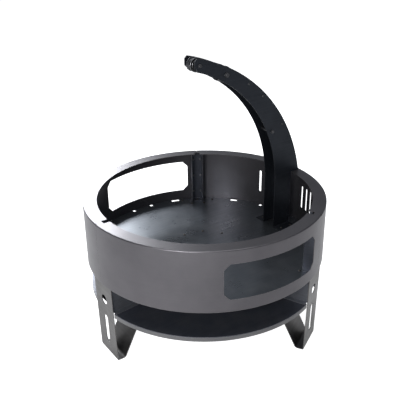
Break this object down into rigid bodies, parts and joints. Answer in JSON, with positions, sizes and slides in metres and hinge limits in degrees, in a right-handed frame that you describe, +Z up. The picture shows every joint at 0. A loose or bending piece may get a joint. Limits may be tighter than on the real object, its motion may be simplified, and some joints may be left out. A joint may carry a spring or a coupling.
{
  "type": "fire pit",
  "caption": "Round sheet-steel fire pit on three folded legs, with side windows, a log shelf underneath and a curved chain crane over the bowl.",
  "frame": {"origin": "on the ground, on the drum's axis", "axes": "+Z up, +Y from the drum's axis towards the crane's foot"},
  "size_m": [1, 1, 1.1693],
  "materials": {
    "drum_steel": "satin dark steel sheet",
    "pillar_steel": "satin dark steel sheet",
    "floor_steel": "smooth satin steel plate",
    "shelf_steel": "smooth satin steel plate",
    "leg_steel": "satin dark steel sheet",
    "gusset_steel": "satin dark steel sheet",
    "crane_steel": "matt blackened steel plate",
    "roller_steel": "turned steel",
    "sleeve_steel": "plain steel tube",
    "fastener_zinc": "dull zinc-plated steel"
  },
  "bodies": {
    "frame": {"drum_segment_rear": "drum_steel", "drum_segment_left": "drum_steel", "drum_segment_right": "drum_steel", "joint_pillar_left": "pillar_steel", "joint_pillar_right": "pillar_steel", "joint_pillar_front": "pillar_steel", "pillar_studs": "fastener_zinc", "pillar_nuts": "fastener_zinc", "floor_plate": "floor_steel", "floor_ring": "floor_steel", "floor_bolts": "fastener_zinc", "floor_nuts": "fastener_zinc", "shelf": "shelf_steel", "shelf_edge": "shelf_steel", "shelf_bolts": "fastener_zinc", "shelf_nuts": "fastener_zinc", "leg_left": "leg_steel", "leg_right": "leg_steel", "leg_front": "leg_steel", "gusset_left_rear": "gusset_steel", "gusset_left_front": "gusset_steel", "gusset_right_rear": "gusset_steel", "gusset_right_front": "gusset_steel", "gusset_front_left": "gusset_steel", "gusset_front_right": "gusset_steel", "crane_plate_left": "crane_steel", "crane_plate_right": "crane_steel", "crane_back_strip": "crane_steel", "crane_spacers": "sleeve_steel", "crane_spacer_bolts": "fastener_zinc", "crane_spacer_nuts": "fastener_zinc", "crane_foot_bolts": "fastener_zinc", "crane_foot_nuts": "fastener_zinc", "tip_axle": "fastener_zinc", "tip_sleeves": "sleeve_steel", "guide_axle": "fastener_zinc", "guide_sleeves": "sleeve_steel", "belay_pin": "fastener_zinc", "belay_sleeve": "sleeve_steel", "axle_nuts": "fastener_zinc"},
    "tip_pulley": {"tip_pulley": "roller_steel"},
    "guide_roller": {"guide_roller": "roller_steel"}
  },
  "joints": [
    {"name": "tip_pulley_spin", "type": "hinge", "parent": "frame", "child": "tip_pulley", "pos_m": [0, -0.042, 1.13975], "axis": [1, 0, 0], "continuous": true},
    {"name": "guide_roller_spin", "type": "hinge", "parent": "frame", "child": "guide_roller", "pos_m": [0, 0.083, 1.08723], "axis": [1, 0, 0], "continuous": true}
  ]
}
